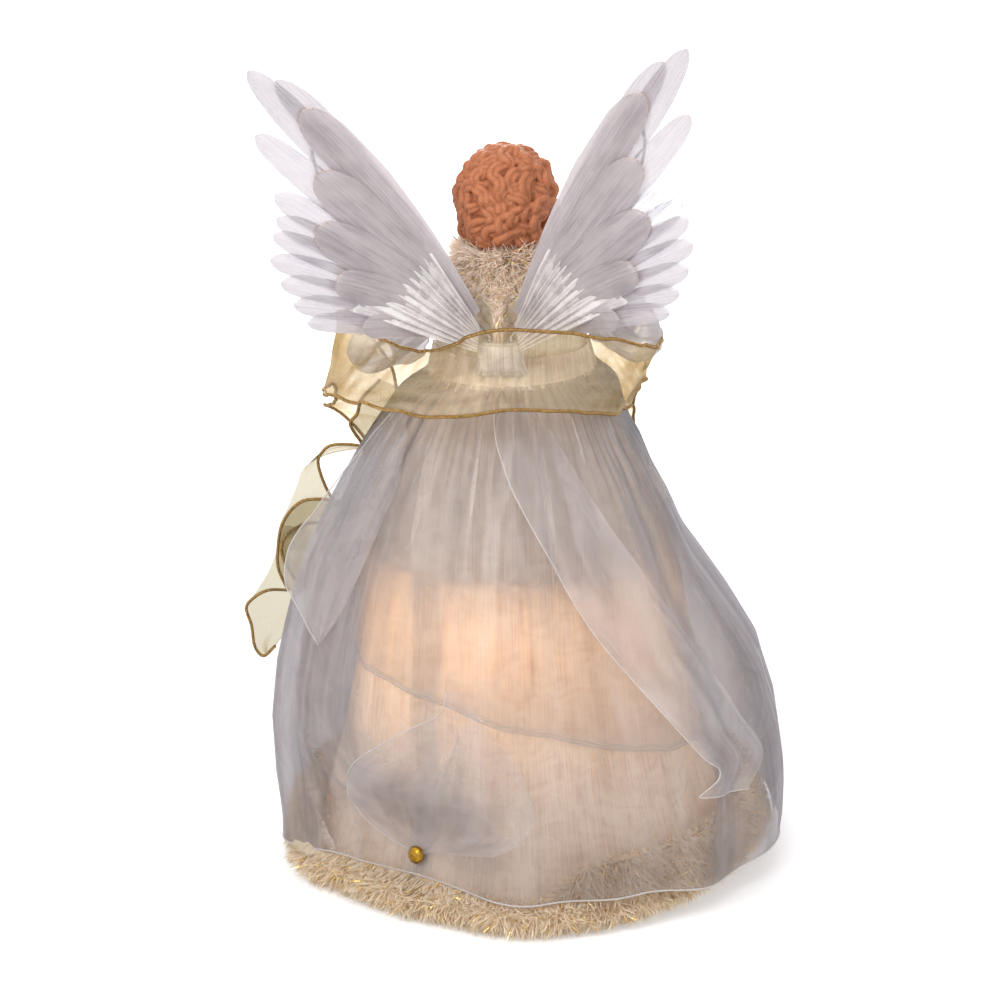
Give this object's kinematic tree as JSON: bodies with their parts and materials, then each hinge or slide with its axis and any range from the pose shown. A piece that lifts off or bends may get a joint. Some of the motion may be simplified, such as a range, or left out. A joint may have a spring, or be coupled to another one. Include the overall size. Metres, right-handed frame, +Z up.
{
  "type": "angel tree topper",
  "caption": "Angel tree topper: hollow lit cone base under a layered gown, film feather wings, cast head, plush trim and a draped sheer ribbon.",
  "frame": {"origin": "on the axis of the support cone, in the plane that its rim stands on", "axes": "+Z up along the cone's axis, -Y toward the angel's front, +X toward the angel's left"},
  "size_m": [0.2772, 0.2417, 0.4003],
  "materials": {
    "cone_sheet": "rolled translucent sheet",
    "brass": "pressed and polished",
    "disc_board": "die cut",
    "holder_plastic": "moulded",
    "base_plastic": "moulded",
    "lamp_glass": "blown, clear",
    "grommet_rubber": "moulded",
    "lead_plastic": "extruded cover",
    "torso_plastic": "blow moulded",
    "waist_fabric": "gathered",
    "satin": "satin",
    "lining": "moire taffeta",
    "lace": "sheer with a rolled edge",
    "organza": "sheer",
    "plush": "long pile with tinsel",
    "figure_resin": "cast, matte",
    "bracket_plastic": "moulded",
    "wing_film": "pearly film",
    "wing_satin": "pleated satin",
    "wire": "drawn",
    "hand_resin": "cast, matte",
    "gold_ribbon": "sheer with corded metallic edges"
  },
  "bodies": {
    "figure": {"support_cone": "cone_sheet", "seam_brad": "brass", "lamp_disc": "disc_board", "lead_grommet": "grommet_rubber", "lamp_harness": "lead_plastic", "torso_core": "torso_plastic", "waistband": "waist_fabric", "bodice": "satin", "inner_skirt": "lining", "middle_skirt": "lace", "overskirt": "organza", "fur_hem": "plush", "fur_collar": "plush", "head": "figure_resin", "wing_bracket": "bracket_plastic", "arm_wire": "wire", "ribbon": "gold_ribbon", "lamp_holder_1": "holder_plastic", "lamp_holder_2": "holder_plastic", "lamp_holder_3": "holder_plastic", "lamp_holder_4": "holder_plastic", "lamp_holder_5": "holder_plastic", "left_sleeve": "organza", "left_hand": "hand_resin", "right_sleeve": "organza", "right_hand": "hand_resin"},
    "left_wing": {"left_wing_primaries": "wing_film", "left_wing_coverts": "wing_film", "left_wing_root": "wing_satin", "left_wing_wire": "wire"},
    "right_wing": {"right_wing_primaries": "wing_film", "right_wing_coverts": "wing_film", "right_wing_root": "wing_satin", "right_wing_wire": "wire"},
    "lamp_1": {"lamp_base_1": "base_plastic", "lamp_bulb_1": "lamp_glass"},
    "lamp_2": {"lamp_base_2": "base_plastic", "lamp_bulb_2": "lamp_glass"},
    "lamp_3": {"lamp_base_3": "base_plastic", "lamp_bulb_3": "lamp_glass"},
    "lamp_4": {"lamp_base_4": "base_plastic", "lamp_bulb_4": "lamp_glass"},
    "lamp_5": {"lamp_base_5": "base_plastic", "lamp_bulb_5": "lamp_glass"}
  },
  "joints": [
    {"name": "left_wing_fold", "type": "hinge", "parent": "figure", "child": "left_wing", "pos_m": [0.005, 0.032, 0.2593], "axis": [0, 0, 1], "range_deg": [-15, 3]},
    {"name": "right_wing_fold", "type": "hinge", "parent": "figure", "child": "right_wing", "pos_m": [-0.005, 0.032, 0.2593], "axis": [0, 0, -1], "range_deg": [-15, 3]},
    {"name": "lamp_1_pull", "type": "slide", "parent": "figure", "child": "lamp_1", "axis": [0, 0, -1], "range_m": [0, 0.0115]},
    {"name": "lamp_2_pull", "type": "slide", "parent": "figure", "child": "lamp_2", "axis": [0, 0, -1], "range_m": [0, 0.0115]},
    {"name": "lamp_3_pull", "type": "slide", "parent": "figure", "child": "lamp_3", "axis": [0, 0, -1], "range_m": [0, 0.0115]},
    {"name": "lamp_4_pull", "type": "slide", "parent": "figure", "child": "lamp_4", "axis": [0, 0, -1], "range_m": [0, 0.0115]},
    {"name": "lamp_5_pull", "type": "slide", "parent": "figure", "child": "lamp_5", "axis": [0, 0, -1], "range_m": [0, 0.0115]}
  ]
}
